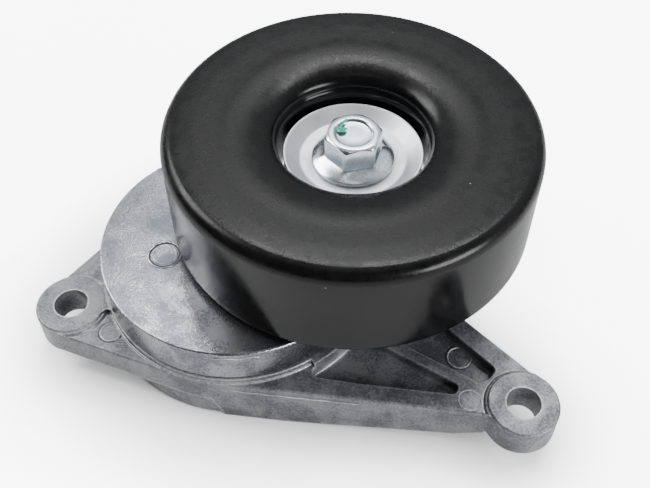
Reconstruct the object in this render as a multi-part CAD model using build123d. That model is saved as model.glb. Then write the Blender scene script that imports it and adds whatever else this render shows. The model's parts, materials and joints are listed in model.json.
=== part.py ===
"""Belt tensioner idler: a flat pulley on a sprung arm that pivots on a two-eared die-cast bracket.

Frame: origin midway between the two mounting holes, on the plane of the ears' mounting faces.
+X runs from the left hole to the right hole, +Z up through the pulley's face. Millimetres.
"""
from build123d import *
from math import acos, atan2, cos, degrees, hypot, radians, sin
import os

os.makedirs("parts", exist_ok=True)

# ---- driving dimensions: plan -----------------------------------------------------------------
HOLE_SPAN = 124.0          # between the two mounting holes
HOLE_R = 4.5               # clears an M8 bolt
EAR_FILLET = 3.0           # inner corner between the right ear and the front edge
EAR_R = 9.4                # boss round each mounting hole
PIVOT = (-21.4, 24.1)      # arm pivot axis
ARM_OFFSET = 33.7          # pivot axis to pulley axis
ARM_ANGLE = 36.0           # direction of the arm at rest, from +X
HOUSING_R = 37.6           # outside of the spring housing
PLATE_R = 38.0             # the plate's front edge runs round the housing at this radius
CUP_R = 37.7               # outside of the cup below the plate
HOUSING_WALL = 3.9
STOP_WALL_R = 39.2         # thicker stretch of the housing wall, on the pocket side
SKIRT = 4.5                # thickness of the wall under the front edge
RIB_SLOPE = -17.4          # direction of the rib between the pockets
RIB_END = (45.2, 1.9)      # its front corner at the right ear
STRIP = 4.7                # width of the flat border along the plate's back edge
WEB = 3.4                  # rib between the two pockets
BACK_EDGE_R = 33.2         # the back edge is tangent to this circle about the pivot
FRONT_REACH = 3.8          # the front edge passes this far in front of the right hole's axis

# ---- driving dimensions: heights above the mounting plane -------------------------------------
PLATE_TOP = 7.7
EAR_TOP = 9.2
RIM_TOP = 9.7
POCKET_DEPTH = 3.2
POCKET_LIP = 0.4           # rounding round each pocket's mouth
CUP_BOTTOM = -7.6
CUP_FLOOR = -5.1
DISC_BOTTOM = 10.0
DISC_TOP = 20.7
LOBE_BOTTOM = 14.0
PULLEY_BOTTOM = 23.2
PULLEY_WIDTH = 29.5
BEARING_BOTTOM = 27.5

# ---- driving dimensions: pulley and bearing ---------------------------------------------------
PULLEY_R = 50.0
SHEET = 2.4
SHOULDER = 3.7
MOUTH_R = 27.4
HUB_R = 20.0               # bearing seat in the pulley
LIP_R = 20.8
LIP_DEPTH = 5.0
BEARING_BORE_R = 8.5
BEARING_WIDTH = 12.0
PITCH_R = 14.25
BALL_R = 3.37
BALLS = 8
INNER_SHOULDER_R = 12.2
OUTER_SHOULDER_R = 16.3
RACE_PLAY = 0.03
THIN = 0.8                 # dust cap, rear shield and seals

# ---- driving dimensions: bolt -----------------------------------------------------------------
BOLT_R = 5.0
BOLT_LENGTH = 24.0
HEX_AF = 14.0
FLANGE_R = 11.1
HEAD_HEIGHT = 9.4
HEX_TURN = 28.0            # one corner of the hexagon, from +X

# ---- driving dimensions: pivot, spring and damper ---------------------------------------------
SHAFT_R = 7.5
BUSH_R = 9.0
POST_R = 12.0
POST_TOP = 9.0
POST_BOTTOM = -3.6
RUNNING = 0.05             # radial clearance of the shaft in its bushes
WIRE_R = 2.25
COIL_R = 27.2
COIL_PITCH = 4.9
SEAT = 0.8
SEAT_INNER = 24.2
SEAT_OUTER = 30.3
DISC_R = 37.2
DISC_WALL = 6.5
LOBE_R = 16.0
PULLEY_BOSS_R = 13.0
TRAVEL = 30.0              # arm travel from its free stop, degrees
LUG_ANGLE = 9.0            # the arm's stop lug starts here, from +X about the pivot
LUG_WIDTH = 11.0
STOP_WIDTH = 7.0
NECK_FAIRING = 1.2         # radius where the left ear's boss meets the housing
STOP_R = 41.2              # reach of the two stop blocks
STOP_GAP = 0.6
SPRING_START = 200.0       # lower end of the coil, which winds clockwise going up
SPRING_PLAY = 0.05
SPRING_LUG = 4.9           # height of the lugs that the spring's ends press on

# ---- worked out -------------------------------------------------------------------------------
LEFT = (-HOLE_SPAN / 2, 0.0)
RIGHT = (HOLE_SPAN / 2, 0.0)
PULLEY_AXIS = (PIVOT[0] + ARM_OFFSET * cos(radians(ARM_ANGLE)), PIVOT[1] + ARM_OFFSET * sin(radians(ARM_ANGLE)))
PULLEY_TOP = PULLEY_BOTTOM + PULLEY_WIDTH
BEARING_TOP = BEARING_BOTTOM + BEARING_WIDTH
BEARING_MID = BEARING_BOTTOM + BEARING_WIDTH / 2
CHAMBER_R = HOUSING_R - HOUSING_WALL
CHAMBER_TOP = DISC_TOP - DISC_WALL
CAP_TOP = BEARING_TOP + THIN
POCKET_FLOOR = PLATE_TOP - POCKET_DEPTH
SPRING_LOW = CUP_FLOOR + SEAT + WIRE_R + SPRING_PLAY
SPRING_HIGH = CHAMBER_TOP - SEAT - WIRE_R - SPRING_PLAY
SPRING_END = SPRING_START - 360 * (SPRING_HIGH - SPRING_LOW) / COIL_PITCH
STOP_ANGLES = (LUG_ANGLE - STOP_GAP - STOP_WIDTH, LUG_ANGLE + LUG_WIDTH + TRAVEL + STOP_GAP)


# ---- small helpers ----------------------------------------------------------------------------
def around(axis, angle, radius):
    """The point at a radius and an angle, in degrees, about a vertical axis given in plan."""
    return (axis[0] + radius * cos(radians(angle)), axis[1] + radius * sin(radians(angle)))


def rod(axis, radius, low, high):
    """A round bar between two heights."""
    return Pos(axis[0], axis[1], low) * extrude(Circle(radius), high - low)


def tube(axis, outer, inner, low, high):
    """A round tube between two heights."""
    return Pos(axis[0], axis[1], low) * extrude(Circle(outer) - Circle(inner), high - low)


def prism(points, low, high):
    """A plan polygon raised between two heights."""
    return extrude(Pos(0, 0, low) * make_face(Polyline(*points, close=True)), high - low)


def sector(axis, outer, inner, start, end, low, high):
    """The stretch of a tube between two angles."""
    arc_out = [around(axis, a, outer) for a in (start, (start + end) / 2, end)]
    arc_in = [around(axis, a, inner) for a in (end, (start + end) / 2, start)]
    edges = [ThreePointArc(*arc_out), Line(arc_out[2], arc_in[0]), ThreePointArc(*arc_in), Line(arc_in[2], arc_out[0])]
    return Pos(0, 0, low) * extrude(make_face(edges), high - low)


def turned(axis, profile):
    """A closed (radius, height) profile revolved about a vertical axis."""
    face = make_face(Plane.XZ * Polyline(*profile, close=True))
    return Pos(axis[0], axis[1], 0) * revolve(face, Axis.Z)


def tangent(a, ra, b, rb, side):
    """The two touching points of the outer tangent to two circles; side is +1 left, -1 right of a to b."""
    along = atan2(b[1] - a[1], b[0] - a[0])
    lean = acos((ra - rb) / hypot(b[0] - a[0], b[1] - a[1]))
    normal = degrees(along + side * lean)
    return around(a, normal, ra), around(b, normal, rb)


def rounded(solid, edges, radius):
    """The solid with those edges rounded, all at once or, where that fails, one at a time."""
    try:
        whole = solid.fillet(radius, edges)
        if whole.is_valid:
            return whole
    except Exception:
        print("rounding one at a time")
    for edge in edges:
        same = [e for e in solid.edges() if (e.center() - edge.center()).length < 0.01]
        try:
            one = solid.fillet(radius, same)
            solid = one if one.is_valid else solid
        except Exception:
            print("left sharp:", edge.center())
    return solid


def at_height(solid, height):
    """The edges of a solid that lie level at a height."""
    return [e for e in solid.edges() if abs(e.center().Z - height) < 0.01 and e.bounding_box().size.Z < 0.01]


def save(name, *shapes):
    """Writes one node."""
    solids = [s for shape in shapes for s in shape.solids()]
    export_step(solids[0] if len(solids) == 1 else Compound(children=solids), f"parts/{name}.step")


# ---- bracket: plate, ears, pockets, spring cup ------------------------------------------------
def front_line():
    """The plate's straight front edge on the right, from the housing to beside the right hole."""
    return tangent(PIVOT, PLATE_R, RIGHT, FRONT_REACH, -1)


def plate_outline():
    """Plan of the bracket: both ears wrapped to the housing, with a straight front edge on the right."""
    left_back = tangent(LEFT, EAR_R - 0.6, PIVOT, HOUSING_R, +1)
    left_front = tangent(LEFT, EAR_R, PIVOT, PLATE_R, -1)
    right_back = tangent(PIVOT, BACK_EDGE_R, RIGHT, EAR_R, +1)
    front = front_line()
    outline = make_face(Polyline(*left_back, PIVOT, left_front[1], left_front[0], LEFT, close=True))
    outline += make_face(Polyline(PIVOT, *right_back, RIGHT, front[1], front[0], close=True))
    for centre, radius in ((LEFT, EAR_R), (RIGHT, EAR_R), (PIVOT, PLATE_R)):
        outline += Pos(*centre) * Circle(radius)
    by_ear = outline.vertices().sort_by_distance((*front[1], 0))[0]
    by_housing = outline.vertices().sort_by_distance((12, 43, 0))[0]
    for corner, radius in ((by_ear, EAR_FILLET), (by_housing, 7)):
        same = outline.vertices().sort_by_distance(corner.center())[0]
        outline = fillet(same, radius)
    return outline


def pockets():
    """The two sunk panels of the right wing, one each side of the rib, with drafted and rounded floors."""
    back = tangent(PIVOT, BACK_EDGE_R - STRIP, RIGHT, EAR_R - STRIP, +1)
    slope = radians(RIB_SLOPE)
    rib_start = (RIB_END[0] - 34 * cos(slope), RIB_END[1] - 34 * sin(slope))
    across = (-WEB * sin(slope), WEB * cos(slope))
    front_corners = [rib_start, RIB_END, (44.6, -0.9), (20.0, -3.9), (0.0, -5.6)]
    behind_start = (rib_start[0] + across[0], rib_start[1] + across[1])
    behind_end = (RIB_END[0] + across[0] + 3.6, RIB_END[1] + across[1] - 1.1)
    tip = around(RIGHT, 132, EAR_R + 2.8)
    back_corners = [behind_start, behind_end, (52.6, 6.2), tip, back[0], PIVOT]
    cuts = []
    for corners in (front_corners, back_corners):
        cut = prism(corners, POCKET_FLOOR, PLATE_TOP + 3) - rod(PIVOT, STOP_WALL_R, 0, PLATE_TOP + 3)
        cut = rounded(cut, cut.edges().filter_by(Axis.Z), 1.6)
        cuts.append(rounded(cut, at_height(cut, POCKET_FLOOR), 1.2))
    return cuts


def front_skirt():
    """The wall under the front edge, deepest beside the cup and running out at the right ear."""
    start, end = front_line()
    run = degrees(atan2(end[1] - start[1], end[0] - start[0]))
    length = hypot(end[0] - start[0], end[1] - start[1])
    outline = Polyline((-1, 1), (-1, 0), (2, CUP_BOTTOM), (18, CUP_BOTTOM), (length - 16, -4.0), (length - 9, -1.6),
                       (length - 8, 1), close=True)
    wall = extrude(Plane.XZ * make_face(outline), -SKIRT)
    return Pos(start[0], start[1], 0) * Rot(0, 0, run) * wall


def raised_boss(axis, radius, height, cove, edge):
    """A round boss on the plate with a rounded top edge and a cove at its foot, kept inside the plate's outline."""
    edges = [
        Line((0, 1), (radius + cove, 1)),
        Line((radius + cove, 1), (radius + cove, PLATE_TOP)),
        RadiusArc((radius + cove, PLATE_TOP), (radius, PLATE_TOP + cove), -cove),
        Line((radius, PLATE_TOP + cove), (radius, height - edge)),
        RadiusArc((radius, height - edge), (radius - edge, height), -edge),
        Line((radius - edge, height), (0, height)),
        Line((0, height), (0, 1)),
    ]
    boss = revolve(make_face(Plane.XZ * Wire(edges)), Axis.Z)
    return (Pos(*axis, 0) * boss) & extrude(plate_outline(), height + 1)


def ear_neck():
    """The low bridge between the left ear's boss and the housing, with a hollow fairing on each side."""
    along = degrees(atan2(PIVOT[1] - LEFT[1], PIVOT[0] - LEFT[0]))
    reach = hypot(PIVOT[0] - LEFT[0], PIVOT[1] - LEFT[1])
    near, far = EAR_R + NECK_FAIRING, HOUSING_R + NECK_FAIRING
    turn = degrees(acos((near ** 2 + reach ** 2 - far ** 2) / (2 * near * reach)))
    fairings = [around(LEFT, along - turn, near), around(LEFT, along + turn, near)]
    bridge = prism([LEFT, fairings[0], PIVOT, fairings[1]], 1, EAR_TOP - 0.1)
    for centre in fairings:
        bridge -= rod(centre, NECK_FAIRING, 0, EAR_TOP + 1)
    return bridge & rod(LEFT, EAR_R + 3, 0, EAR_TOP + 1)


def base_casting():
    """Bracket casting: plate, ears, pockets, spring cup with its centre post, and the arm's two stops."""
    plate = extrude(plate_outline(), PLATE_TOP)
    plate = rounded(plate, at_height(plate, PLATE_TOP), 0.6)
    body = plate + front_skirt()
    cup = rod(PIVOT, CUP_R, CUP_BOTTOM, 1)
    body += rounded(cup, at_height(cup, CUP_BOTTOM), 1.0)
    for ear in (LEFT, RIGHT):
        body += raised_boss(ear, EAR_R, EAR_TOP, 0.8, 0.6)
    for cut in pockets():
        body -= cut
        body = rounded(body, [e for e in at_height(body, PLATE_TOP) if e.distance_to(cut) < 0.01], POCKET_LIP)
    body += ear_neck()
    body += raised_boss(PIVOT, HOUSING_R, RIM_TOP, PLATE_R - HOUSING_R - 0.05, 0.3)
    body += sector(PIVOT, STOP_WALL_R, HOUSING_R - 2, -42.6, LUG_ANGLE - STOP_GAP, 1, RIM_TOP)
    for start in STOP_ANGLES:
        stop = sector(PIVOT, STOP_R, HOUSING_R - 2, start, start + STOP_WIDTH, 0.5, LOBE_BOTTOM - 0.6)
        body += stop - rod(PIVOT, HOUSING_R + 0.1, RIM_TOP, LOBE_BOTTOM)
    body -= rod(PIVOT, CHAMBER_R, CUP_FLOOR, DISC_TOP)
    body += rod(PIVOT, 17.0, CUP_FLOOR - 1, POST_BOTTOM + 2.5)
    body += rod(PIVOT, POST_R, CUP_FLOOR, POST_TOP)
    body -= rod(PIVOT, 14.5, CUP_BOTTOM - 1, POST_BOTTOM)
    body -= rod(PIVOT, BUSH_R, CUP_BOTTOM, DISC_TOP)
    lug = (SPRING_START + 2, SPRING_START + 14)
    body += sector(PIVOT, CHAMBER_R + 1, COIL_R - 2, *lug, CUP_FLOOR - 1, CUP_FLOOR + SPRING_LUG)
    for ear in (LEFT, RIGHT):
        body -= rod(ear, HOLE_R, -1, EAR_TOP + 1)
    return body


# ---- arm --------------------------------------------------------------------------------------
def arm_casting():
    """Arm casting: the disc that closes the spring cup, a lobe out to the pulley, and the pulley's boss."""
    disc = rod(PIVOT, DISC_R, DISC_BOTTOM, DISC_TOP)
    a = tangent(PIVOT, DISC_R, PULLEY_AXIS, LOBE_R, -1)
    b = tangent(PIVOT, DISC_R, PULLEY_AXIS, LOBE_R, +1)
    lobe = prism([a[0], a[1], PULLEY_AXIS, b[1], b[0], PIVOT], LOBE_BOTTOM, DISC_TOP)
    lobe += rod(PULLEY_AXIS, LOBE_R, LOBE_BOTTOM, DISC_TOP)
    body = disc + lobe
    body = rounded(body, at_height(body, DISC_TOP), 0.5)
    body = rounded(body, at_height(body, DISC_BOTTOM), 0.25)
    body -= rod(PIVOT, CHAMBER_R + 0.4, DISC_BOTTOM - 1, CHAMBER_TOP)
    body += rod(PIVOT, POST_R, POST_TOP + 1.1, DISC_TOP)
    body += sector(PIVOT, 40.3, HOUSING_R + 0.5, LUG_ANGLE, LUG_ANGLE + LUG_WIDTH, PLATE_TOP + 0.6, LOBE_BOTTOM + 1)
    boss = [(0, DISC_TOP - 1), (PULLEY_BOSS_R, DISC_TOP - 1), (PULLEY_BOSS_R, DISC_TOP),
            (PULLEY_BOSS_R - 1.5, BEARING_BOTTOM - THIN), (0, BEARING_BOTTOM - THIN)]
    body += turned(PULLEY_AXIS, boss)
    lug = (SPRING_END - 12, SPRING_END - 2)
    body += sector(PIVOT, COIL_R + WIRE_R, COIL_R - 2, *lug, CHAMBER_TOP - SPRING_LUG, CHAMBER_TOP + 1)
    body -= rod(PULLEY_AXIS, BOLT_R, CAP_TOP - BOLT_LENGTH - 0.4, PULLEY_TOP)
    body -= rod(PIVOT, SHAFT_R, 0, DISC_TOP - 3)
    return body


# ---- spring and damper ------------------------------------------------------------------------


def torsion_spring():
    """Round-wire coil whose plain ends press on a lug in the cup and a lug under the disc."""
    path = Helix(COIL_PITCH, SPRING_HIGH - SPRING_LOW, COIL_R, lefthand=True)
    section = Plane(origin=path @ 0, z_dir=path % 0) * Circle(WIRE_R)
    coil = sweep(section, path, is_frenet=True)
    return Pos(PIVOT[0], PIVOT[1], SPRING_LOW) * Rot(0, 0, SPRING_START) * coil


# ---- pulley -----------------------------------------------------------------------------------
def pulley_shell():
    """Pressed steel pulley: rim, shouldered face, funnel and bearing hub, open at the back."""
    top = PULLEY_TOP
    wall = SHEET
    edges = [
        Line((PULLEY_R, PULLEY_BOTTOM), (PULLEY_R, top - SHOULDER)),
        RadiusArc((PULLEY_R, top - SHOULDER), (PULLEY_R - SHOULDER, top), -SHOULDER),
        Line((PULLEY_R - SHOULDER, top), (MOUTH_R, top)),
        Spline((MOUTH_R, top), (LIP_R + 1.7, top - 1.9), (LIP_R, top - LIP_DEPTH), tangents=((-1, 0), (-0.08, -1))),
        Line((LIP_R, top - LIP_DEPTH), (HUB_R, BEARING_TOP + 1.2)),
        Line((HUB_R, BEARING_TOP + 1.2), (HUB_R, BEARING_BOTTOM)),
        Line((HUB_R, BEARING_BOTTOM), (HUB_R - THIN, BEARING_BOTTOM)),
        Line((HUB_R - THIN, BEARING_BOTTOM), (HUB_R - THIN, BEARING_BOTTOM - 1)),
        Line((HUB_R - THIN, BEARING_BOTTOM - 1), (HUB_R + wall, BEARING_BOTTOM - 1)),
        Line((HUB_R + wall, BEARING_BOTTOM - 1), (HUB_R + wall, top - LIP_DEPTH - 2)),
        Line((HUB_R + wall, top - LIP_DEPTH - 2), (MOUTH_R + 0.6, top - wall)),
        Line((MOUTH_R + 0.6, top - wall), (PULLEY_R - SHOULDER, top - wall)),
        RadiusArc((PULLEY_R - SHOULDER, top - wall), (PULLEY_R - wall, top - SHOULDER), SHOULDER - wall),
        Line((PULLEY_R - wall, top - SHOULDER), (PULLEY_R - wall, PULLEY_BOTTOM)),
        Line((PULLEY_R - wall, PULLEY_BOTTOM), (PULLEY_R, PULLEY_BOTTOM)),
    ]
    face = make_face(Plane.XZ * Wire(edges))
    return Pos(*PULLEY_AXIS, 0) * revolve(face, Axis.Z)


# ---- bearing ----------------------------------------------------------------------------------
def groove():
    """The ring that the balls roll in, cut from both races."""
    circle = Plane.XZ * (Pos(PITCH_R, BEARING_MID) * Circle(BALL_R + RACE_PLAY))
    return Pos(*PULLEY_AXIS, 0) * revolve(circle, Axis.Z)


def balls():
    """The balls, evenly spaced on the pitch circle."""
    centres = [around(PULLEY_AXIS, ARM_ANGLE + 360 * i / BALLS, PITCH_R) for i in range(BALLS)]
    return [Pos(x, y, BEARING_MID) * Sphere(BALL_R) for x, y in centres]


def cage_half(side):
    """One pressed half of the cage: a ring with a cup over each ball; side is +1 front, -1 rear."""
    low, high = sorted((BEARING_MID, BEARING_MID + side * (BALL_R + 0.6)))
    flat_low, flat_high = sorted((BEARING_MID, BEARING_MID + side * 0.7))
    ring = tube(PULLEY_AXIS, PITCH_R + 1.4, PITCH_R - 1.4, flat_low, flat_high)
    band = tube(PULLEY_AXIS, PITCH_R + 1.4, PITCH_R - 1.4, low, high)
    for i in range(BALLS):
        x, y = around(PULLEY_AXIS, ARM_ANGLE + 360 * i / BALLS, PITCH_R)
        ring += (Pos(x, y, BEARING_MID) * Sphere(BALL_R + 0.6)) & band
    for i in range(BALLS):
        x, y = around(PULLEY_AXIS, ARM_ANGLE + 360 * i / BALLS, PITCH_R)
        ring -= Pos(x, y, BEARING_MID) * Sphere(BALL_R + 0.06)
    return ring


def rivet_spots():
    """Plan places of the cage rivets, midway between the balls."""
    return [around(PULLEY_AXIS, ARM_ANGLE + 360 * (i + 0.5) / BALLS, PITCH_R) for i in range(BALLS)]


def seal(low):
    """A bearing seal: a thin ring held by the outer race, clear of the inner race."""
    return tube(PULLEY_AXIS, OUTER_SHOULDER_R, INNER_SHOULDER_R + 0.35, low, low + THIN)


# ---- pulley bolt and its washers --------------------------------------------------------------
def front_dust_cap():
    """Dished steel washer under the bolt, covering the bearing."""
    t = THIN
    z = BEARING_TOP
    profile = [(BOLT_R + 0.3, z), (14.6, z), (17.9, z + 2.4), (18.7, z + 2.6), (18.7, z + 3.6),
               (17.5, z + 2.4 + t), (14.2, z + t), (BOLT_R + 0.3, z + t)]
    return turned(PULLEY_AXIS, profile)


def pulley_bolt():
    """Flange bolt with a dished head."""
    z = CAP_TOP
    flange = turned(PULLEY_AXIS, [(0, z), (FLANGE_R, z), (FLANGE_R, z + 1.3), (8.2, z + 2.6), (0, z + 2.6)])
    hexagon = RegularPolygon(HEX_AF / 2, 6, major_radius=False, rotation=HEX_TURN)
    head = Pos(*PULLEY_AXIS, z + 2) * extrude(hexagon, HEAD_HEIGHT - 2)
    chamfer = [(0, z), (FLANGE_R + 1, z), (FLANGE_R + 1, z + 6), (HEX_AF / 2 - 0.2, z + HEAD_HEIGHT), (0, z + HEAD_HEIGHT)]
    head &= turned(PULLEY_AXIS, chamfer)
    dish = [(0, z + HEAD_HEIGHT - 0.8), (4.2, z + HEAD_HEIGHT - 0.8), (5.2, z + HEAD_HEIGHT + 0.1), (0, z + HEAD_HEIGHT + 0.1)]
    shank = rod(PULLEY_AXIS, BOLT_R - 0.02, z - BOLT_LENGTH, z + 1)
    return flange + head + shank - turned(PULLEY_AXIS, dish)


# ---- build and write --------------------------------------------------------------------------
save("base_casting", base_casting())
save("arm_casting", arm_casting())
save("torsion_spring", torsion_spring())
low_seat = sector(PIVOT, SEAT_OUTER, SEAT_INNER, SPRING_START - 344, SPRING_START + 1, CUP_FLOOR, CUP_FLOOR + SEAT)
high_seat = sector(PIVOT, SEAT_OUTER, SEAT_INNER, SPRING_END - 1, SPRING_END + 344, CHAMBER_TOP - SEAT, CHAMBER_TOP)
save("lower_spring_seat", low_seat)
save("upper_spring_seat", high_seat)
save("damper_shoe", sector(PIVOT, CHAMBER_R - 0.3, 31.4, 60, 380, 2.0, CHAMBER_TOP))
save("damper_band", sector(PIVOT, 31.4, 30.7, 60, 380, 4.0, CHAMBER_TOP - 2))

bush_length = 7.0
upper_bush = tube(PIVOT, BUSH_R, SHAFT_R + RUNNING, POST_TOP - bush_length, POST_TOP)
upper_bush += tube(PIVOT, POST_R - 0.2, SHAFT_R + RUNNING, POST_TOP, POST_TOP + 1)
save("upper_pivot_bush", upper_bush)
lower_bush = tube(PIVOT, BUSH_R, SHAFT_R + RUNNING, POST_BOTTOM, POST_BOTTOM + 4.5)
lower_bush += tube(PIVOT, POST_R, SHAFT_R + RUNNING, POST_BOTTOM - 1, POST_BOTTOM)
save("lower_pivot_bush", lower_bush)

plate_high = POST_BOTTOM - 1.1
plate_low = plate_high - 2
shaft = rod(PIVOT, SHAFT_R, plate_high, DISC_TOP - 3)
shaft += rod(PIVOT, SHAFT_R - 1.5, plate_low, plate_high)
shaft += rod(PIVOT, SHAFT_R + 0.5, CUP_BOTTOM + 0.1, plate_low)
save("pivot_shaft", shaft)
save("retaining_plate", tube(PIVOT, 13.6, SHAFT_R - 1.5, plate_low, plate_high))

save("pulley_shell", pulley_shell())
save("bearing_outer_ring", tube(PULLEY_AXIS, HUB_R, OUTER_SHOULDER_R, BEARING_BOTTOM, BEARING_TOP) - groove())
save("bearing_inner_ring", tube(PULLEY_AXIS, INNER_SHOULDER_R, BEARING_BORE_R, BEARING_BOTTOM, BEARING_TOP) - groove())
save("front_bearing_seal", seal(BEARING_TOP - 0.2 - THIN))
save("rear_bearing_seal", seal(BEARING_BOTTOM + 0.2))
for number, ball in enumerate(balls(), 1):
    save(f"bearing_ball_{number}", ball)
rivets = [rod(spot, 0.5, BEARING_MID - 1.1, BEARING_MID + 1.1) for spot in rivet_spots()]
rivet_holes = [rod(spot, 0.5, BEARING_MID - 2, BEARING_MID + 2) for spot in rivet_spots()]
for name, side in (("front_cage_half", 1), ("rear_cage_half", -1)):
    half = cage_half(side)
    for hole in rivet_holes:
        half -= hole
    save(name, half)
save("cage_rivets", *rivets)

save("spacer_sleeve", tube(PULLEY_AXIS, BEARING_BORE_R, BOLT_R + 0.3, BEARING_BOTTOM, BEARING_TOP))
save("front_dust_cap", front_dust_cap())
save("rear_dust_shield", tube(PULLEY_AXIS, 18.4, BOLT_R + 0.3, BEARING_BOTTOM - THIN, BEARING_BOTTOM))
save("pulley_bolt", pulley_bolt())
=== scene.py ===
"""Looks of a belt tensioner idler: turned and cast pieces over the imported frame, their finishes, and the
floor, light and camera."""
import json

import bmesh
import bpy
import numpy as np
from mathutils import Matrix, Vector


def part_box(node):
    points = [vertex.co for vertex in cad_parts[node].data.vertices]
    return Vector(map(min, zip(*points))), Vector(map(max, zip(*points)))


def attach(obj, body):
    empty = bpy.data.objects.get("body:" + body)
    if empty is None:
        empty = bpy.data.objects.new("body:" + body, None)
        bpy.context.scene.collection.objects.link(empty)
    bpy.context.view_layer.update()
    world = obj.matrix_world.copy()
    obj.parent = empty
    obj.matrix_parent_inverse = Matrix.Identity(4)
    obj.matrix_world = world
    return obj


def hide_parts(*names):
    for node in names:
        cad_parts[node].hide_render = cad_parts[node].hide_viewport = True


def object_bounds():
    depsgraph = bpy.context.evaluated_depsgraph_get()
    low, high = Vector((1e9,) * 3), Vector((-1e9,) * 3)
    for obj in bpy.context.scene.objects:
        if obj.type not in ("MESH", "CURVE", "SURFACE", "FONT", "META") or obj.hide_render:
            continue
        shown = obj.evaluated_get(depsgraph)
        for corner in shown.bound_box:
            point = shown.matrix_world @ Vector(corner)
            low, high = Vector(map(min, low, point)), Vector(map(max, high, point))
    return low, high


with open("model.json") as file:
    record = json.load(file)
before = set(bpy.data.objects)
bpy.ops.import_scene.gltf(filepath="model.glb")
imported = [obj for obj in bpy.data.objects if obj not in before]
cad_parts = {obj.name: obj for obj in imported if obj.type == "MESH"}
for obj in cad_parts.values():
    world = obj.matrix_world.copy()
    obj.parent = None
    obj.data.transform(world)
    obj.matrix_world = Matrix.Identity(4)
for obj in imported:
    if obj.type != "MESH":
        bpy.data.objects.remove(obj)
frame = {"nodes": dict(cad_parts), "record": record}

CAD_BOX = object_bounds()
MM = 0.001
TURN_STEPS = 256         # points round a turned piece

# Pulley, dust cap and bolt, in millimetres
SHOULDER = 3.7           # rounding between the pulley's rim and its face
SHEET = 2.4              # the pulley's steel
RIM_FOOT = 6.0           # the section starts this far up inside the rim
DISH_OUTER_R = 41.2      # the face sinks between these two radii
DISH_INNER_R = 35.6
DISH_DEPTH = 0.2
FUNNEL_R = 33.5          # the face starts to fall here
LIP_R = 20.8             # the funnel's lower edge
LIP_DEPTH = 5.0
BEARING_R = 20.0         # the bearing's seat
HUB_R = 22.4             # outside of the hub
CAP_BORE_R = 5.3
CAP_SHEET = 0.8          # the dust cap's steel
CAP_RISE = 2.4           # how far its dish climbs
CAP_RIM = 3.6            # height of its rolled rim
BOLT_R = 5.0
FLANGE_R = 11.1
HEX_FLATS = 14.0
HEX_CORNER = 28.0        # direction of one of the hexagon's corners, in degrees
HEAD_FLAT_R = 6.75       # the chamfer starts here


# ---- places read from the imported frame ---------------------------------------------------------
def node_box(name):
    """Lowest and highest corner of a CAD node, in millimetres."""
    low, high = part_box(name)
    return np.array(low) / MM, np.array(high) / MM


def node_axis(name):
    """Plan centre of a round CAD node, in millimetres."""
    low, high = node_box(name)
    return (low[:2] + high[:2]) / 2


PULLEY_AXIS = node_axis("pulley_shell")
PIVOT = node_axis("pivot_shaft")
SHELL_LOW, SHELL_HIGH = node_box("pulley_shell")
PULLEY_R = (SHELL_HIGH[0] - SHELL_LOW[0]) / 2
PULLEY_TOP = SHELL_HIGH[2]
PULLEY_BOTTOM = SHELL_LOW[2]
BEARING_BOTTOM, CAP_BASE = (corner[2] for corner in node_box("bearing_inner_ring"))
SHANK_END, HEAD_TOP = (corner[2] for corner in node_box("pulley_bolt"))


# ---- mesh helpers -------------------------------------------------------------------------------
def grid_faces(rows, columns, loop):
    """Quads of a rows by columns grid of points; with loop, the last column joins the first."""
    r = np.arange(rows - 1)[:, None]
    c = np.arange(columns if loop else columns - 1)[None, :]
    nxt = (c + 1) % columns
    here, above = r * columns, (r + 1) * columns
    quads = np.stack([here + c, here + nxt, above + nxt, above + c], axis=-1)
    return quads.reshape(-1, 4)


def make_piece(name, points, faces, body, material):
    """A smooth-shaded mesh object from points in millimetres, riding on a body."""
    mesh = bpy.data.meshes.new(name)
    mesh.from_pydata((points * MM).tolist(), [], faces.tolist())
    mesh.validate()
    mesh.polygons.foreach_set("use_smooth", np.full(len(mesh.polygons), True))
    mesh.materials.append(material)
    piece = bpy.data.objects.new(name, mesh)
    bpy.context.scene.collection.objects.link(piece)
    mesh.update()
    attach(piece, body)
    return piece


def mark_sharp(piece, degrees=32.0):
    """Keeps edges sharper than an angle crisp."""
    piece.data.set_sharp_from_angle(angle=np.radians(degrees))


def rounded_corners(corners, steps=7):
    """A polyline of (radius, height, rounding) corners, each replaced by an arc-like curve.

    Each corner becomes a quadratic curve from one rounding before it to one rounding after it, with the
    corner itself as the middle control point."""
    corners = np.asarray(corners, float)
    places, rounding = corners[:, :2], corners[:, 2]
    line = [places[:1]]
    t = np.linspace(0, 1, steps)[:, None]
    for before, here, after, size in zip(places[:-2], places[1:-1], places[2:], rounding[1:-1]):
        if size == 0:
            line.append(here[None])
            continue
        back, ahead = before - here, after - here
        start = here + back / np.linalg.norm(back) * size
        end = here + ahead / np.linalg.norm(ahead) * size
        line.append((1 - t) ** 2 * start + 2 * t * (1 - t) * here + t ** 2 * end)
    line.append(places[-1:])
    return np.concatenate(line)


def turned_points(profile, axis, steps=TURN_STEPS):
    """Points of a profile turned about a vertical axis: x = r cos a, y = r sin a, z = height."""
    angle = np.linspace(0, 2 * np.pi, steps, endpoint=False)[None, :]
    radius, height = profile[:, :1], profile[:, 1:2]
    x = axis[0] + radius * np.cos(angle)
    y = axis[1] + radius * np.sin(angle)
    z = np.broadcast_to(height, x.shape)
    return np.stack([x, y, z], axis=-1).reshape(-1, 3)


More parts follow.
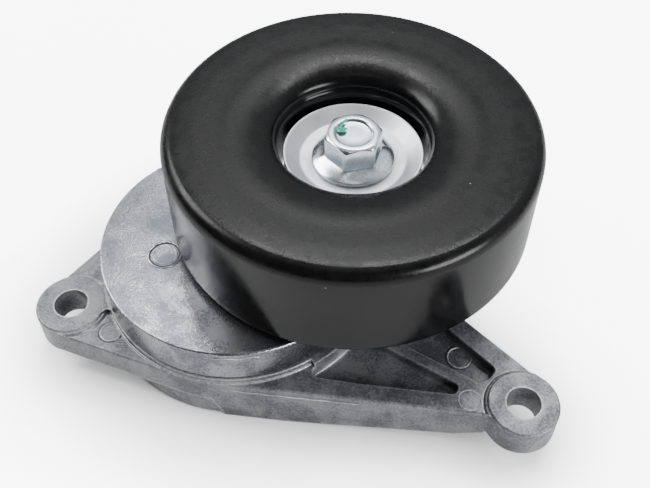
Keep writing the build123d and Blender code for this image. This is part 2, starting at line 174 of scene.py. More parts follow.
def turned_piece(name, profile, axis, body, material, closed=False, steps=TURN_STEPS):
    """A turned skin; closed joins the profile's end to its start, otherwise ends on the axis are sewn shut."""
    if closed:
        profile = np.concatenate([profile, profile[:1]])
    points = turned_points(profile, axis, steps)
    faces = grid_faces(len(profile), steps, loop=True)
    piece = make_piece(name, points, faces, body, material)
    sew(piece)
    return piece


def sew(piece, distance=1e-7):
    """Merges doubled points and turns all faces outwards."""
    bm = bmesh.new()
    bm.from_mesh(piece.data)
    bmesh.ops.remove_doubles(bm, verts=bm.verts, dist=distance)
    bmesh.ops.dissolve_degenerate(bm, dist=distance, edges=bm.edges)
    bmesh.ops.recalc_face_normals(bm, faces=bm.faces)
    bm.to_mesh(piece.data)
    bm.free()
    piece.data.update()


# ---- shader helpers -----------------------------------------------------------------------------
def new_material(name):
    """A material with its Principled shader, ready to wire."""
    material = bpy.data.materials.new(name)
    material.use_nodes = True
    tree = material.node_tree
    return material, tree, tree.nodes["Principled BSDF"]


def add(tree, kind, values=None, **settings):
    """A node with its settings and its unlinked input values."""
    node = tree.nodes.new(kind)
    for key, value in settings.items():
        setattr(node, key, value)
    for key, value in (values or {}).items():
        node.inputs[key].default_value = value
    return node


def link(tree, source, target):
    """Wires an output to an input."""
    tree.links.new(source, target)


def new_group(name, inputs, outputs):
    """A shader node group with named sockets: each is (name, kind, default)."""
    tree = bpy.data.node_groups.new(name, "ShaderNodeTree")
    for label, kind, default in inputs:
        socket = tree.interface.new_socket(label, in_out="INPUT", socket_type=kind)
        socket.default_value = default
    for label, kind in outputs:
        tree.interface.new_socket(label, in_out="OUTPUT", socket_type=kind)
    return tree, tree.nodes.new("NodeGroupInput"), tree.nodes.new("NodeGroupOutput")


def use_group(tree, group, values=None):
    """A node that uses a group, with its unlinked input values."""
    node = tree.nodes.new("ShaderNodeGroup")
    node.node_tree = group
    for key, value in (values or {}).items():
        node.inputs[key].default_value = value
    return node


def object_noise(tree, scale, detail=4.0, roughness=0.55, distortion=0.0):
    """Noise over object coordinates in metres."""
    coords = add(tree, "ShaderNodeTexCoord")
    noise = add(tree, "ShaderNodeTexNoise",
                {"Scale": scale, "Detail": detail, "Roughness": roughness, "Distortion": distortion})
    link(tree, coords.outputs["Object"], noise.inputs["Vector"])
    return noise


def ramp(tree, source, stops):
    """A colour ramp: stops are (position, colour or grey)."""
    node = add(tree, "ShaderNodeValToRGB")
    elements = node.color_ramp.elements
    while len(elements) < len(stops):
        elements.new(0.5)
    for element, (position, colour) in zip(elements, stops):
        element.position = position
        red, green, blue = (colour,) * 3 if np.isscalar(colour) else colour
        element.color = (red, green, blue, 1.0)
    link(tree, source, node.inputs["Fac"])
    return node


BLOTCH_SCALE = 130.0     # noise scales of the casting's skin, per metre
FLECK_SCALE = 1500.0
GRAIN_SCALE = 3200.0
STRATA_SCALE = (40.0, 40.0, 1500.0)
FLECK_TONE = 1.3         # what the flecks add to the tone, against 1 for the blotches
FLECK_RELIEF = 1.2       # what they add to the relief, against 1 for the grain
STRATA_RELIEF = 2.2
EDGE_WEAR_AND_HIGHLIGHT_REACH = 0.0009      # metres from an edge that are lightened: rubbed wear and a painted edge highlight
# pale metal of the bright edges: part rubbed wear, part painted highlight
EDGE_WEAR_AND_HIGHLIGHT_TONE = (0.75, 0.75, 0.76, 1)


def cast_skin_group():
    """Skin of a die casting: cold-flow blotches, pale flecks and bright edges in its colour, the edges partly
    rubbed wear and partly a painted highlight, and flecks, fine grain and level striations in its relief."""
    tree, into, out = new_group(
        "cast_skin",
        [("Dark", "NodeSocketColor", (0.16, 0.165, 0.18, 1)),
         ("Light", "NodeSocketColor", (0.42, 0.42, 0.43, 1)),
         ("Edge", "NodeSocketFloat", 0.4), ("Blotch Scale", "NodeSocketFloat", BLOTCH_SCALE),
         ("Rough Low", "NodeSocketFloat", 0.2), ("Rough High", "NodeSocketFloat", 0.4)],
        [("Color", "NodeSocketColor"), ("Roughness", "NodeSocketFloat"), ("Height", "NodeSocketFloat")])
    coords = add(tree, "ShaderNodeTexCoord")

    def noise(scale, detail, roughness, distortion=0.0):
        node = add(tree, "ShaderNodeTexNoise",
                   {"Scale": scale, "Detail": detail, "Roughness": roughness, "Distortion": distortion})
        link(tree, coords.outputs["Object"], node.inputs["Vector"])
        return node

    blotch = noise(BLOTCH_SCALE, 3.0, 0.5, 0.4)
    link(tree, into.outputs["Blotch Scale"], blotch.inputs["Scale"])
    fleck = noise(FLECK_SCALE, 6.0, 0.7, 0.3)
    grain = noise(GRAIN_SCALE, 4.0, 0.6)
    tone = add(tree, "ShaderNodeMath", operation="MULTIPLY_ADD")
    tone.inputs[1].default_value = FLECK_TONE
    link(tree, fleck.outputs["Fac"], tone.inputs[0])
    link(tree, blotch.outputs["Fac"], tone.inputs[2])
    spread = add(tree, "ShaderNodeMapRange", {"From Min": 0.97, "From Max": 1.32})
    link(tree, tone.outputs[0], spread.inputs["Value"])
    mix = add(tree, "ShaderNodeMix", data_type="RGBA")
    link(tree, spread.outputs["Result"], mix.inputs["Factor"])
    link(tree, into.outputs["Dark"], mix.inputs[6])
    link(tree, into.outputs["Light"], mix.inputs[7])
    # painted highlight along the edges, together with real rubbed wear: the colour is pulled towards a pale
    # metal where the bevel normal turns away, patchily with the flecks
    geometry = add(tree, "ShaderNodeNewGeometry")
    bevel = add(tree, "ShaderNodeBevel", {"Radius": EDGE_WEAR_AND_HIGHLIGHT_REACH}, samples=6)
    dot = add(tree, "ShaderNodeVectorMath", operation="DOT_PRODUCT")
    link(tree, geometry.outputs["Normal"], dot.inputs[0])
    link(tree, bevel.outputs["Normal"], dot.inputs[1])
    edge = add(tree, "ShaderNodeMapRange", {"From Min": 0.997, "From Max": 0.90})
    link(tree, dot.outputs["Value"], edge.inputs["Value"])
    wear_and_highlight = add(tree, "ShaderNodeMath", operation="MULTIPLY")
    link(tree, edge.outputs["Result"], wear_and_highlight.inputs[0])
    link(tree, into.outputs["Edge"], wear_and_highlight.inputs[1])
    patch = add(tree, "ShaderNodeMapRange", {"From Min": 0.35, "From Max": 0.62, "To Min": 0.25})
    link(tree, fleck.outputs["Fac"], patch.inputs["Value"])
    patchy = add(tree, "ShaderNodeMath", operation="MULTIPLY")
    link(tree, wear_and_highlight.outputs[0], patchy.inputs[0])
    link(tree, patch.outputs["Result"], patchy.inputs[1])
    rub = add(tree, "ShaderNodeMix", data_type="RGBA")
    rub.inputs[7].default_value = EDGE_WEAR_AND_HIGHLIGHT_TONE
    link(tree, patchy.outputs[0], rub.inputs["Factor"])
    link(tree, mix.outputs[2], rub.inputs[6])
    link(tree, rub.outputs[2], out.inputs["Color"])
    rough = add(tree, "ShaderNodeMapRange", {"From Min": 0.86, "From Max": 1.44})
    link(tree, tone.outputs[0], rough.inputs["Value"])
    link(tree, into.outputs["Rough High"], rough.inputs["To Min"])
    link(tree, into.outputs["Rough Low"], rough.inputs["To Max"])
    link(tree, rough.outputs["Result"], out.inputs["Roughness"])
    height = add(tree, "ShaderNodeMath", operation="MULTIPLY_ADD")
    height.inputs[1].default_value = FLECK_RELIEF
    link(tree, fleck.outputs["Fac"], height.inputs[0])
    link(tree, grain.outputs["Fac"], height.inputs[2])
    layers = add(tree, "ShaderNodeMapping", {"Scale": STRATA_SCALE})
    link(tree, coords.outputs["Object"], layers.inputs["Vector"])
    strata = add(tree, "ShaderNodeTexNoise", {"Scale": 1.0, "Detail": 3.0, "Roughness": 0.6})
    link(tree, layers.outputs["Vector"], strata.inputs["Vector"])
    relief = add(tree, "ShaderNodeMath", operation="MULTIPLY_ADD")
    relief.inputs[1].default_value = STRATA_RELIEF
    link(tree, strata.outputs["Fac"], relief.inputs[0])
    link(tree, height.outputs[0], relief.inputs[2])
    link(tree, relief.outputs[0], out.inputs["Height"])
    return tree


def cast_aluminium(name, skin, dark, light, edge, gloss, metallic):
    """Die-cast aluminium, satin and mottled; gloss is its lowest and highest roughness."""
    material, tree, shader = new_material(name)
    group = use_group(tree, skin, {"Dark": (*dark, 1), "Light": (*light, 1), "Edge": edge,
                                   "Rough Low": gloss[0], "Rough High": gloss[1]})
    link(tree, group.outputs["Color"], shader.inputs["Base Color"])
    link(tree, group.outputs["Roughness"], shader.inputs["Roughness"])
    shader.inputs["Metallic"].default_value = metallic
    bump = add(tree, "ShaderNodeBump", {"Strength": 0.2, "Distance": 0.00012})
    link(tree, group.outputs["Height"], bump.inputs["Height"])
    link(tree, bump.outputs["Normal"], shader.inputs["Normal"])
    return material


SPECK_SHARE = 0.93       # dust lies only in the cells whose random value is above this
RING_RELIEF = 0.25       # relief of the turned scuffs, against 1 for the orange peel
SIDE_END = 6.5           # below the top, in millimetres: glossy side up to here
FACE_START = 1.5         # duller face from here


def black_coat():
    """Baked black coat on pressed steel: fine orange peel, turned scuffs round the axis, specks of dust.

    Its side is glossier than its face, and it shines less where it is seen edge-on."""
    material, tree, shader = new_material("black_coat")
    coords = add(tree, "ShaderNodeTexCoord")
    centre = add(tree, "ShaderNodeMapping", {"Location": (-PULLEY_AXIS[0] * MM, -PULLEY_AXIS[1] * MM, 0.0)})
    link(tree, coords.outputs["Object"], centre.inputs["Vector"])
    split = add(tree, "ShaderNodeSeparateXYZ")
    link(tree, centre.outputs["Vector"], split.inputs[0])
    flat = add(tree, "ShaderNodeCombineXYZ")
    link(tree, split.outputs["X"], flat.inputs["X"])
    link(tree, split.outputs["Y"], flat.inputs["Y"])
    reach = add(tree, "ShaderNodeVectorMath", operation="LENGTH")
    link(tree, flat.outputs[0], reach.inputs[0])
    rings = add(tree, "ShaderNodeTexNoise", {"Scale": 900.0, "Detail": 3.0}, noise_dimensions="1D")
    link(tree, reach.outputs["Value"], rings.inputs["W"])
    cloud = object_noise(tree, 260.0, 7.0, 0.72)
    grain = object_noise(tree, 1300.0, 3.0, 0.6)
    colour = ramp(tree, cloud.outputs["Fac"],
                  [(0.3, (0.0020, 0.0020, 0.0022)), (0.7, (0.0040, 0.0040, 0.0043))])
    dust = add(tree, "ShaderNodeTexVoronoi", {"Scale": 260.0}, feature="F1")
    link(tree, coords.outputs["Object"], dust.inputs["Vector"])
    speck = add(tree, "ShaderNodeMapRange", {"From Min": 0.06, "From Max": 0.03})
    link(tree, dust.outputs["Distance"], speck.inputs["Value"])
    chance = add(tree, "ShaderNodeSeparateColor")
    link(tree, dust.outputs["Color"], chance.inputs[0])
    few = add(tree, "ShaderNodeMath", operation="GREATER_THAN")
    few.inputs[1].default_value = SPECK_SHARE
    link(tree, chance.outputs[0], few.inputs[0])
    mask = add(tree, "ShaderNodeMath", operation="MULTIPLY")
    link(tree, speck.outputs["Result"], mask.inputs[0])
    link(tree, few.outputs[0], mask.inputs[1])
    dusty = add(tree, "ShaderNodeMix", data_type="RGBA")
    dusty.inputs[7].default_value = (0.25, 0.25, 0.25, 1)
    link(tree, mask.outputs[0], dusty.inputs["Factor"])
    link(tree, colour.outputs["Color"], dusty.inputs[6])
    link(tree, dusty.outputs[2], shader.inputs["Base Color"])
    facing = add(tree, "ShaderNodeLayerWeight", {"Blend": 0.5})
    shine = add(tree, "ShaderNodeMapRange",
                {"From Min": 0.56, "From Max": 0.84, "To Min": 0.15, "To Max": 0.03})
    link(tree, facing.outputs["Facing"], shine.inputs["Value"])
    link(tree, shine.outputs["Result"], shader.inputs["Specular IOR Level"])
    rub = add(tree, "ShaderNodeMapRange",
              {"From Min": 0.35, "From Max": 0.65, "To Min": -0.06, "To Max": 0.07})
    link(tree, cloud.outputs["Fac"], rub.inputs["Value"])
    face = add(tree, "ShaderNodeMapRange",
               {"From Min": (PULLEY_TOP - SIDE_END) * MM, "From Max": (PULLEY_TOP - FACE_START) * MM,
                "To Min": 0.15, "To Max": 0.27})
    link(tree, split.outputs["Z"], face.inputs["Value"])
    rough = add(tree, "ShaderNodeMath", operation="ADD")
    link(tree, rub.outputs["Result"], rough.inputs[0])
    link(tree, face.outputs["Result"], rough.inputs[1])
    link(tree, rough.outputs[0], shader.inputs["Roughness"])
    height = add(tree, "ShaderNodeMath", operation="MULTIPLY_ADD")
    height.inputs[1].default_value = RING_RELIEF
    link(tree, rings.outputs["Fac"], height.inputs[0])
    link(tree, grain.outputs["Fac"], height.inputs[2])
    bump = add(tree, "ShaderNodeBump", {"Strength": 0.3, "Distance": 0.00008})
    link(tree, height.outputs[0], bump.inputs["Height"])
    link(tree, bump.outputs["Normal"], shader.inputs["Normal"])
    return material


def plated(name, dark, light, rough_low, rough_high, scale=240.0, metallic=1.0, bump_strength=0.12):
    """Plated or bare metal: drifting tone, uneven gloss and a fine grain."""
    material, tree, shader = new_material(name)
    cloud = object_noise(tree, scale, 5.0, 0.6, 0.5)
    grain = object_noise(tree, 2600.0, 3.0, 0.6)
    colour = ramp(tree, cloud.outputs["Fac"], [(0.32, dark), (0.68, light)])
    link(tree, colour.outputs["Color"], shader.inputs["Base Color"])
    rough = add(tree, "ShaderNodeMapRange",
                {"From Min": 0.3, "From Max": 0.7, "To Min": rough_high, "To Max": rough_low})
    link(tree, cloud.outputs["Fac"], rough.inputs["Value"])
    link(tree, rough.outputs["Result"], shader.inputs["Roughness"])
    shader.inputs["Metallic"].default_value = metallic
    bump = add(tree, "ShaderNodeBump", {"Strength": bump_strength, "Distance": 0.00006})
    link(tree, grain.outputs["Fac"], bump.inputs["Height"])
    link(tree, bump.outputs["Normal"], shader.inputs["Normal"])
    return material


def inspection_paint():
    """Thick green dab of marking paint, streaky and half glossy."""
    material, tree, shader = new_material("inspection_paint")
    streak = object_noise(tree, 900.0, 4.0, 0.6, 0.8)
    colour = ramp(tree, streak.outputs["Fac"], [(0.35, (0.0, 0.17, 0.115)), (0.65, (0.005, 0.29, 0.20))])
    link(tree, colour.outputs["Color"], shader.inputs["Base Color"])
    rough = add(tree, "ShaderNodeMapRange", {"From Min": 0.3, "From Max": 0.7, "To Min": 0.5, "To Max": 0.7})
    link(tree, streak.outputs["Fac"], rough.inputs["Value"])
    link(tree, rough.outputs["Result"], shader.inputs["Roughness"])
    bump = add(tree, "ShaderNodeBump", {"Strength": 0.3, "Distance": 0.00008})
    link(tree, streak.outputs["Fac"], bump.inputs["Height"])
    link(tree, bump.outputs["Normal"], shader.inputs["Normal"])
    return material


# ---- pulley, dust cap and bolt -------------------------------------------------------------------
def pulley_profile():
    """Section of the pressed pulley, from the rim's foot over the shoulder and face, down the funnel and hub.

    The shoulder is a circular arc, and the funnel a quarter ellipse: height falls by depth times
    one less the root of 1 - u squared, where u goes from 0 at the face to 1 at the lip."""
    top, inside = PULLEY_TOP, PULLEY_R - SHEET
    face_level, lip_level = top - DISH_DEPTH, top - LIP_DEPTH
    foot_top, hub_end = PULLEY_BOTTOM + RIM_FOOT, BEARING_BOTTOM - 1.0
    foot = rounded_corners([
        (inside, foot_top, 0), (inside, PULLEY_BOTTOM, 0.5),
        (PULLEY_R, PULLEY_BOTTOM, 0.9), (PULLEY_R, PULLEY_BOTTOM + 3.0, 0)])
    t = np.radians(np.linspace(0, 82, 18))[:, None]
    shoulder = np.concatenate(
        [PULLEY_R - SHOULDER + SHOULDER * np.cos(t), top - SHOULDER + SHOULDER * np.sin(t)], axis=1)
    step = rounded_corners([
        (45.0, top, 0), (DISH_OUTER_R, top, 0.9), (DISH_INNER_R, face_level, 0.9), (34.2, face_level, 0)])
    u = np.sin(np.radians(np.linspace(0, 90, 40)))[:, None]
    radius = FUNNEL_R - (FUNNEL_R - LIP_R) * u
    fall = (face_level - lip_level) * (1 - np.sqrt(1 - u ** 2))
    funnel = np.concatenate([radius, face_level - fall], axis=1)
    hub = rounded_corners([
        (LIP_R, lip_level, 0), (LIP_R, lip_level - 0.5, 0.2), (BEARING_R, lip_level - 1.4, 0.6),
        (BEARING_R, hub_end, 0.3), (HUB_R, hub_end, 0.3), (HUB_R, top - 8.0, 1.4),
        (31.0, top - SHEET - 0.3, 2.0), (inside, top - SHEET, 1.6), (inside, foot_top, 0)])
    return np.concatenate([foot, shoulder, step, funnel, hub[1:-1]])


def dust_cap_profile():
    """Section of the dished washer, with its rolled rim."""
    z, t = CAP_BASE, CAP_SHEET
    corners = [
        (CAP_BORE_R, z, 0), (14.6, z, 0.8), (17.9, z + CAP_RISE, 0.5), (18.7, z + 2.6, 0.15),
        (18.7, z + CAP_RIM, 0.25), (18.2, z + CAP_RIM, 0.15), (17.6, z + CAP_RISE + t, 0.3),
        (14.3, z + t, 0.5), (CAP_BORE_R, z + t, 0), (CAP_BORE_R, z, 0)]
    return rounded_corners(corners, steps=8)


def hexagon_radius(angle, flats, corner_angle, rounding=0.25):
    """Radius of a hexagon at each angle: flats / 2 over the cosine of the angle to the nearest flat's middle,
    eased off at the corners."""
    sixth = np.pi / 3
    away = np.mod(angle - np.radians(corner_angle), sixth) - sixth / 2
    radius = flats / 2 / np.cos(away)
    corner = flats / 2 / np.cos(sixth / 2)
    return radius - rounding * np.exp((radius - corner) / rounding)


# Dabs of paint on the bolt's head: place, long and short radius, turn in degrees
GREEN_DABS = [
    (2.65, 44.1, 1.3, 1.0, 20), (1.0, 44.3, 0.75, 0.6, 0),
    (1.8, 44.2, 1.0, 0.45, 0), (2.4, 46.8, 1.9, 0.42, 78)]


def bolt_points():
    """Flange bolt, one profile per angle: dish, chamfer, hexagon side, flange cone, shank."""
    steps = 360
    angle = np.linspace(0, 2 * np.pi, steps, endpoint=False)
    hexagon = hexagon_radius(angle, HEX_FLATS, HEX_CORNER)
    top, base, flat = HEAD_TOP, CAP_BASE + CAP_SHEET, HEAD_FLAT_R
    drop = (hexagon - flat) * 0.62

    def ring(radius, height):
        return np.broadcast_to(radius, (steps,)), np.broadcast_to(height, (steps,))

    dish = [ring(0.0, top - 0.75), ring(2.6, top - 0.78), ring(4.2, top - 0.80), ring(4.55, top - 0.74),
            ring(5.0, top - 0.18), ring(5.25, top - 0.03), ring(5.6, top)]
    chamfer = [ring(flat - 0.5, top - 0.02), ring(flat, top - 0.1),
               ring(flat + (hexagon - flat) * 0.8, top - 0.1 - drop * 0.75),
               ring(hexagon - 0.02, top - 0.25 - drop), ring(hexagon, top - 0.55 - drop)]
    side = [ring(hexagon, top - 3.2), ring(hexagon, base + 3.2),
            ring(hexagon + 0.12, base + 2.6), ring(hexagon + 0.5, base + 2.35)]
    flange = [ring(9.4, base + 1.75), ring(10.7, base + 1.18), ring(11.05, base + 0.95),
              ring(FLANGE_R, base + 0.7), ring(FLANGE_R, base + 0.25), ring(10.9, base)]
    shank = [ring(BOLT_R, base), ring(BOLT_R, SHANK_END + 0.8), ring(4.2, SHANK_END), ring(0.0, SHANK_END)]
    rings = dish + chamfer + side + flange + shank
    radius = np.stack([r for r, _ in rings])
    height = np.stack([h for _, h in rings])
    x = PULLEY_AXIS[0] + radius * np.cos(angle)
    y = PULLEY_AXIS[1] + radius * np.sin(angle)
    return np.stack([x, y, height], axis=-1).reshape(-1, 3), grid_faces(len(rings), steps, loop=True)


# ---- marks left by the casting dies ---------------------------------------------------------------
PLATE_LEVEL = 7.7        # top of the bracket's plate
POCKET_LEVEL = 4.5       # floor of its pockets
DISC_LEVEL = 20.7        # top of the arm's disc
DISC_R = 37.2            # its edge
DISC_MARK = (-38.7, 13.9)
LEFT_MARK = (-48.4, -5.2)
POCKET_MARK = (43.8, 12.2)
FRONT_MARK = (48.5, -1.8)
FIRST_TICK = (-45.1, -6.7)
TICK_STEP = (0.32, -0.73)
TICKS = 5
DISC_FLASH_LEVEL = 18.75
FRONT_FLASH_LEVEL = 6.55


def buried_ring(name, centre, radius, level, width, height, body, material):
    """A low round ridge: an ellipse at a radius, turned about a vertical axis and half sunk in the casting."""
    t = np.linspace(0, 2 * np.pi, 12, endpoint=False)
    section = np.stack([radius + width / 2 * np.cos(t), level + height * np.sin(t)], axis=-1)
    return turned_piece(name, section, centre, body, material, closed=True, steps=96)


def rough_rib(name, path, width, height, body, material, seed):
    """A thin irregular rib: an ellipse carried along a path, its size swelling and fading with noise."""
    path = np.asarray(path, float)
    count = len(path)
    rng = np.random.default_rng(seed)
    swell = np.convolve(rng.uniform(0.15, 1.0, count + 6), np.ones(4) / 4, mode="same")[3:-3]
    swell *= np.sin(np.linspace(0, np.pi, count)) ** 0.35
    along = np.gradient(path, axis=0)
    along /= np.linalg.norm(along, axis=1)[:, None]
    side = np.cross(along, (0.0, 0.0, 1.0))
    side /= np.linalg.norm(side, axis=1)[:, None]
    over = np.cross(side, along)
    t = np.linspace(0, 2 * np.pi, 8, endpoint=False)[None, :, None]
    ring = side[:, None] * width / 2 * np.cos(t) + over[:, None] * height / 2 * np.sin(t)
    points = (path[:, None] + ring * swell[:, None, None]).reshape(-1, 3)
    piece = make_piece(name, points, grid_faces(count, 8, loop=True), body, material)
    sew(piece)
    return piece


def low_dabs(name, dabs, level, thickness, body, material):
    """Flat rounded dabs: each is an ellipse with a wavy edge, domed as the root of 1 - s squared, where s goes
    from 0 in the middle to 1 at the rim."""
    rows, columns = 9, 48
    t = np.linspace(0, 2 * np.pi, columns, endpoint=False)[None, :]
    s = np.linspace(0, 1, rows)[:, None]
    points, faces = [], []
    for number, (x, y, long, short, turn) in enumerate(dabs):
        wave = 1 + 0.10 * np.sin(3 * t + number) + 0.06 * np.sin(5 * t + 2 * number)
        a, b = long * s * wave * np.cos(t), short * s * wave * np.sin(t)
        c, d = np.cos(np.radians(turn)), np.sin(np.radians(turn))
        z = level + thickness * np.sqrt(1 - s ** 2) + 0 * t
        points.append(np.stack([x + a * c - b * d, y + a * d + b * c, z], axis=-1).reshape(-1, 3))
        faces.append(grid_faces(rows, columns, loop=True) + number * rows * columns)
    piece = make_piece(name, np.concatenate(points), np.concatenate(faces), body, material)
    sew(piece)
    return piece


def cast_marks():
    """Ejector marks, the disc's double ring, tick ribs, and the flash left along the parting lines."""
    # the three *_groove rings are painted shade: a dark casting tone laid where the grooves round the marks
    # fall into shadow
    rings = [
        ("disc_mark_groove", DISC_MARK, 3.95, DISC_LEVEL, 0.4, 0.05, "arm", GROOVE_SHADE),
        ("left_mark_groove", LEFT_MARK, 3.2, PLATE_LEVEL, 0.5, 0.08, "base", GROOVE_SHADE),
        ("pocket_mark_groove", POCKET_MARK, 3.55, POCKET_LEVEL, 0.4, 0.07, "base", GROOVE_SHADE),
        ("disc_mark_outer", DISC_MARK, 4.4, DISC_LEVEL, 0.5, 0.22, "arm", ARM_CAST),
        ("disc_mark_inner", DISC_MARK, 3.1, DISC_LEVEL, 0.34, 0.14, "arm", ARM_CAST),
        ("ejector_mark_left", LEFT_MARK, 2.8, PLATE_LEVEL, 0.6, 0.22, "base", BASE_CAST),
        ("ejector_mark_pocket", POCKET_MARK, 3.2, POCKET_LEVEL, 0.5, 0.2, "base", BASE_CAST),
        ("ejector_mark_front", FRONT_MARK, 2.9, PLATE_LEVEL, 0.3, 0.09, "base", BASE_CAST),
    ]
    for ring in rings:
        buried_ring(*ring)
    ticks = [(FIRST_TICK[0] + TICK_STEP[0] * i, FIRST_TICK[1] + TICK_STEP[1] * i, 1.6, 0.17, 12.0)
             for i in range(TICKS)]
    low_dabs("tick_ribs", ticks, PLATE_LEVEL - 0.02, 0.2, "base", BASE_CAST)
    angle = np.radians(np.linspace(-83, -63, 90))
    wander = DISC_FLASH_LEVEL + 0.22 * np.sin(9 * angle * 4) + 0.1 * np.sin(47 * angle)
    disc_flash = np.stack(
        [PIVOT[0] + DISC_R * np.cos(angle), PIVOT[1] + DISC_R * np.sin(angle), wander], axis=-1)
    rough_rib("disc_flash", disc_flash, 0.5, 0.45, "arm", RUBBED, seed=4)
    start, end = np.array((-11.5, -13.75)), np.array((21.0, -9.35))
    share = np.linspace(0, 1, 160)[:, None]
    run = start + (end - start) * share
    droop = FRONT_FLASH_LEVEL - 0.25 * share + 0.08 * np.sin(37 * share)
    rough_rib("front_flash", np.concatenate([run, droop], axis=1), 0.4, 0.5, "base", RUBBED, seed=9)


# ---- build ----------------------------------------------------------------------------------------
skin = cast_skin_group()
BASE_CAST = cast_aluminium(
    "base_cast_aluminium", skin, dark=(0.060, 0.062, 0.072), light=(0.175, 0.177, 0.185),
    edge=0.7, gloss=(0.30, 0.46), metallic=0.35)
ARM_CAST = cast_aluminium(
    "arm_cast_aluminium", skin, dark=(0.10, 0.107, 0.130), light=(0.27, 0.27, 0.28),
    edge=0.6, gloss=(0.20, 0.33), metallic=0.97)
RUBBED = cast_aluminium(
    "rubbed_flash", skin, dark=(0.30, 0.30, 0.31), light=(0.75, 0.75, 0.76),
    edge=0.0, gloss=(0.25, 0.4), metallic=0.6)
# Painted shade: a dark casting tone for the grooves round the cast marks, where shadow falls.
GROOVE_SHADE = cast_aluminium(
    "painted_groove_shade", skin, dark=(0.02, 0.02, 0.022), light=(0.06, 0.06, 0.064),
    edge=0.0, gloss=(0.5, 0.7), metallic=0.4)
PAINT = inspection_paint()
BLACK = black_coat()
CAP_ZINC = plated("cap_zinc", (0.50, 0.52, 0.54), (0.66, 0.68, 0.70), 0.42, 0.52, 130.0,
                  metallic=0.9, bump_strength=0.2)
BOLT_ZINC = plated("bolt_zinc", (0.47, 0.53, 0.57), (0.64, 0.69, 0.73), 0.16, 0.26, 1400.0)
STEEL = plated("plain_steel", (0.30, 0.30, 0.31), (0.50, 0.50, 0.51), 0.22, 0.38)
BEARING = plated("bearing_steel", (0.45, 0.45, 0.46), (0.62, 0.62, 0.63), 0.10, 0.2)
SPRING = plated("spring_steel", (0.05, 0.05, 0.055), (0.14, 0.13, 0.13), 0.30, 0.5)
BRONZE = plated("bush_bronze", (0.36, 0.24, 0.12), (0.55, 0.38, 0.2), 0.28, 0.45)
NYLON = plated("damper_nylon", (0.03, 0.03, 0.032), (0.06, 0.06, 0.062), 0.45, 0.6, metallic=0.0)
RUBBER = plated("seal_rubber", (0.014, 0.013, 0.013), (0.03, 0.028, 0.027), 0.5, 0.7, metallic=0.0)

finishes = {
    "cast_aluminium": BASE_CAST, "black_coat": BLACK, "zinc_plate": CAP_ZINC, "bolt_zinc": BOLT_ZINC,
    "bearing_steel": BEARING, "plain_steel": STEEL, "spring_steel": SPRING, "bush_bronze": BRONZE,
    "nylon": NYLON, "seal_rubber": RUBBER,
}
for entry in frame["record"]["subparts"]:
    chosen = ARM_CAST if entry["node"] == "arm_casting" else finishes[entry["material_slot"]]
    mesh = frame["nodes"][entry["node"]].data
    mesh.materials.clear()
    mesh.materials.append(chosen)

shell = turned_piece("pulley_skin", pulley_profile(), PULLEY_AXIS, "pulley", BLACK)
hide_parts("pulley_shell")
cap = turned_piece("dust_cap_skin", dust_cap_profile(), PULLEY_AXIS, "arm", CAP_ZINC)
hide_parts("front_dust_cap")
points, faces = bolt_points()
bolt = make_piece("flange_bolt", points, faces, "arm", BOLT_ZINC)
sew(bolt)
mark_sharp(bolt)
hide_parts("pulley_bolt")
low_dabs("green_dab", GREEN_DABS, HEAD_TOP - 0.02, 0.05, "arm", PAINT)
cast_marks()


# ---- floor, light and camera ----------------------------------------------------------------------
FLOOR_REACH = 3.0        # metres from the middle to the floor's sides
PAINTED_SHADOW_REACH = 0.035    # metres within which a shadow is painted into the floor's glow round the object
FLOOR_GLOW = 6.5
LENS = 50.253231         # focal length in millimetres, for the sensor below
SENSOR = 36.0


def area_light(name, place, aim, size, power):
    """A soft white oblong lamp aimed at a point."""
    data = bpy.data.lights.new(name, "AREA")
    data.shape = "RECTANGLE"
    data.size, data.size_y = size
    data.energy = power
    lamp = bpy.data.objects.new(name, data)
    lamp.location = place
    lamp.rotation_euler = (Vector(aim) - Vector(place)).to_track_quat("-Z", "Y").to_euler()
    bpy.context.scene.collection.objects.link(lamp)


def pale_floor():
    """A wide plain floor under the object. It glows for the lens alone, and a shadow is painted into that glow
    where the object stands close.
    """
    low, reach = CAD_BOX[0][2], FLOOR_REACH
    corners = np.array([(-reach, -reach, low), (reach, -reach, low), (reach, reach, low), (-reach, reach, low)])
    mesh = bpy.data.meshes.new("floor")
    mesh.from_pydata(corners.tolist(), [], [(0, 1, 2, 3)])
    floor = bpy.data.objects.new("floor", mesh)
    bpy.context.scene.collection.objects.link(floor)
    material, tree, shader = new_material("floor_paper")
    noise = object_noise(tree, 8.0, 3.0)
    tone = ramp(tree, noise.outputs["Fac"], [(0.3, 0.90), (0.7, 0.92)])
    link(tree, tone.outputs["Color"], shader.inputs["Base Color"])
    shader.inputs["Roughness"].default_value = 0.9
    shader.inputs["Emission Color"].default_value = (1, 1, 1, 1)
    # painted shadow: ambient occlusion dims the floor's glow close round the object, standing in for its cast
    # shadow
    painted_shadow = add(tree, "ShaderNodeAmbientOcclusion", {"Distance": PAINTED_SHADOW_REACH}, samples=12)
    deep = add(tree, "ShaderNodeMath", operation="POWER")
    deep.inputs[1].default_value = 5.0
    link(tree, painted_shadow.outputs["AO"], deep.inputs[0])
    fade = add(tree, "ShaderNodeMapRange", {"To Max": FLOOR_GLOW})
    link(tree, deep.outputs[0], fade.inputs["Value"])
    seen = add(tree, "ShaderNodeLightPath")
    bright = add(tree, "ShaderNodeMath", operation="MULTIPLY")
    link(tree, seen.outputs["Is Camera Ray"], bright.inputs[0])
    link(tree, fade.outputs["Result"], bright.inputs[1])
    link(tree, bright.outputs[0], shader.inputs["Emission Strength"])
    mesh.materials.append(material)


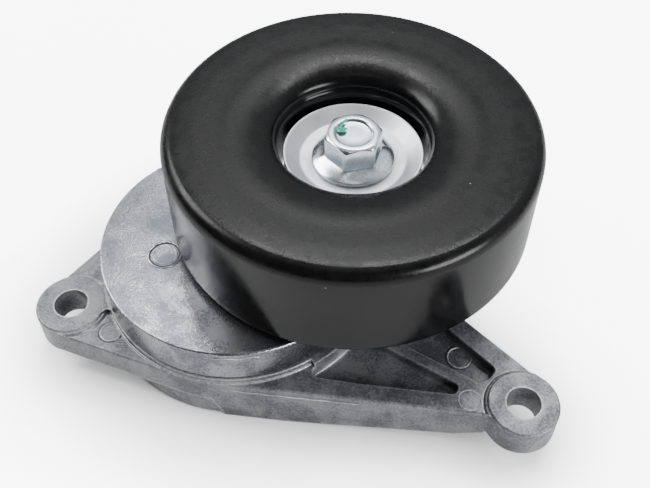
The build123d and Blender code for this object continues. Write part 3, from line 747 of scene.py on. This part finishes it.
def studio_light():
    """Surroundings that are bright behind and dark in front, a key at the upper left, an overhead strip and
    a softbox behind the object, a wide fill at the front right and a faint strip on the ceiling."""
    world = bpy.data.worlds.new("studio")
    bpy.context.scene.world = world
    world.use_nodes = True
    tree = world.node_tree
    background = tree.nodes["Background"]
    background.inputs["Color"].default_value = (0.96, 0.98, 1.0, 1)
    coords = add(tree, "ShaderNodeTexCoord")
    split = add(tree, "ShaderNodeSeparateXYZ")
    link(tree, coords.outputs["Generated"], split.inputs[0])
    back = add(tree, "ShaderNodeMapRange", {"From Min": -0.25, "From Max": 0.5, "To Min": 0.10})
    link(tree, split.outputs["Y"], back.inputs["Value"])
    high = add(tree, "ShaderNodeMapRange",
               {"From Min": 0.05, "From Max": 0.65, "To Min": 0.35, "To Max": 1.3})
    link(tree, split.outputs["Z"], high.inputs["Value"])
    glow = add(tree, "ShaderNodeMath", operation="MULTIPLY")
    link(tree, back.outputs["Result"], glow.inputs[0])
    link(tree, high.outputs["Result"], glow.inputs[1])
    link(tree, glow.outputs[0], background.inputs["Strength"])
    area_light("key", (-0.80, 0.20, 0.80), (0, 0.02, 0.01), (0.5, 0.5), 13.0)
    area_light("overhead", (0.0, 0.51, 0.95), (0, 0.04, 0.03), (0.7, 0.06), 7.0)
    area_light("softbox", (-0.16, 0.66, 0.82), (0, 0.04, 0.03), (0.34, 0.24), 1.1)
    area_light("front_fill", (0.98, -0.42, 0.42), (0.02, 0.02, 0.0), (0.6, 0.4), 21.0)
    area_light("ceiling", (0.0, -0.15, 1.0), (0, 0.04, 0.03), (0.5, 0.12), 0.3)


def camera():
    """Camera in front of the object, looking down at the pulley's face."""
    data = bpy.data.cameras.new("camera")
    data.sensor_width = SENSOR
    data.lens = LENS
    data.shift_x, data.shift_y = -0.0490, -0.0479
    data.clip_start = 0.01
    eye = bpy.data.objects.new("camera", data)
    right = Vector((0.97226, 0.23252, 0.02537))
    up = Vector((-0.19076, 0.7255, 0.66125))
    back = right.cross(up)
    turn = Matrix((right, up, back)).transposed().to_4x4()
    eye.matrix_world = Matrix.Translation((0.04266, -0.1244, 0.21313)) @ turn
    bpy.context.scene.collection.objects.link(eye)
    bpy.context.scene.camera = eye


pale_floor()
studio_light()
camera()
